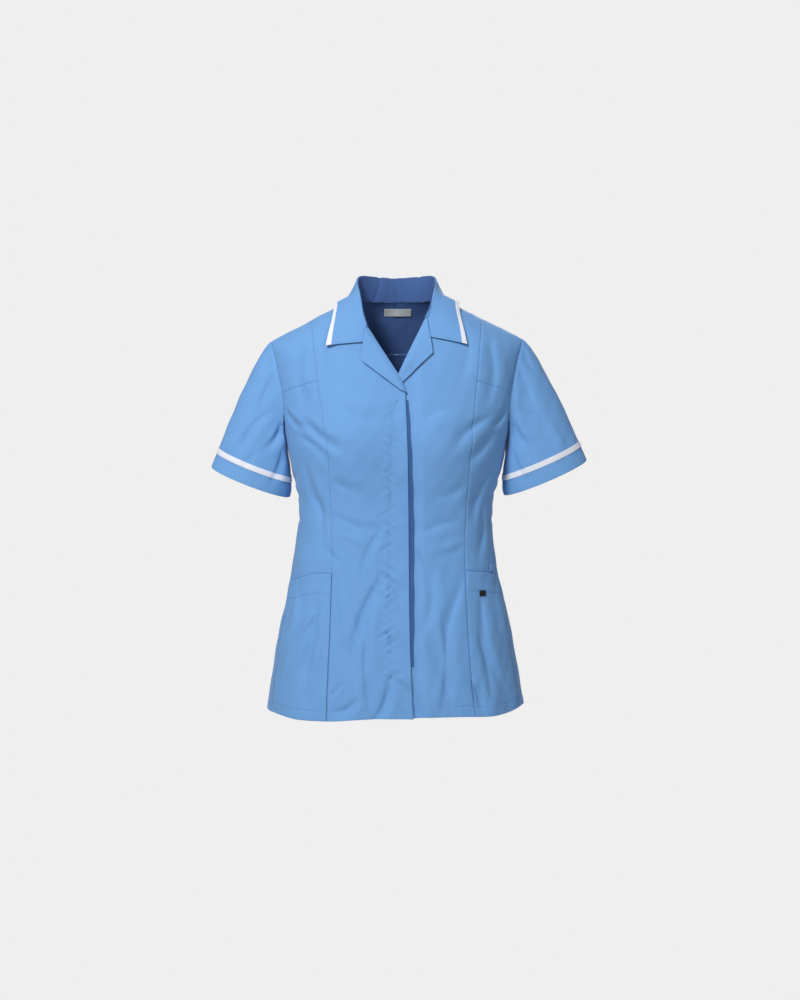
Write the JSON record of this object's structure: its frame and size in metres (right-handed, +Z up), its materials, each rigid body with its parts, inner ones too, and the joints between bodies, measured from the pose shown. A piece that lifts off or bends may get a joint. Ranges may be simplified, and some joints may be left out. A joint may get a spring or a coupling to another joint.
{
  "type": "work tunic",
  "caption": "Short-sleeved blue work tunic with a revere collar and white braid, hollow as worn, open at neck, hem and cuffs, with hip pockets.",
  "frame": {"origin": "midway between the two high points of the shoulders beside the neck, at their level, where the wearer holds the tunic up", "axes": "+Z up, -Y towards the front of the tunic, +X towards the wearer's left"},
  "size_m": [0.6382, 0.2849, 0.7423],
  "materials": {
    "blue_twill": "plain dyed polyester and cotton twill, faint sheen",
    "white_braid": "white woven braid",
    "black_label": "black woven label, bare",
    "grey_label": "grey woven label, bare"
  },
  "bodies": {
    "root": {"front_right": "blue_twill", "front_left": "blue_twill", "side_front_right": "blue_twill", "side_front_left": "blue_twill", "chest_right": "blue_twill", "chest_left": "blue_twill", "sleeve_right": "blue_twill", "sleeve_left": "blue_twill", "sleeve_braid_right": "white_braid", "sleeve_braid_left": "white_braid", "lapel_right": "blue_twill", "lapel_left": "blue_twill", "pocket_right": "blue_twill", "pocket_left": "blue_twill", "back_yoke": "blue_twill", "back": "blue_twill", "collar": "blue_twill", "collar_trim": "white_braid", "fly_strip": "blue_twill", "pen_loop": "blue_twill", "pocket_label": "black_label", "neck_label": "grey_label"}
  },
  "joints": []
}
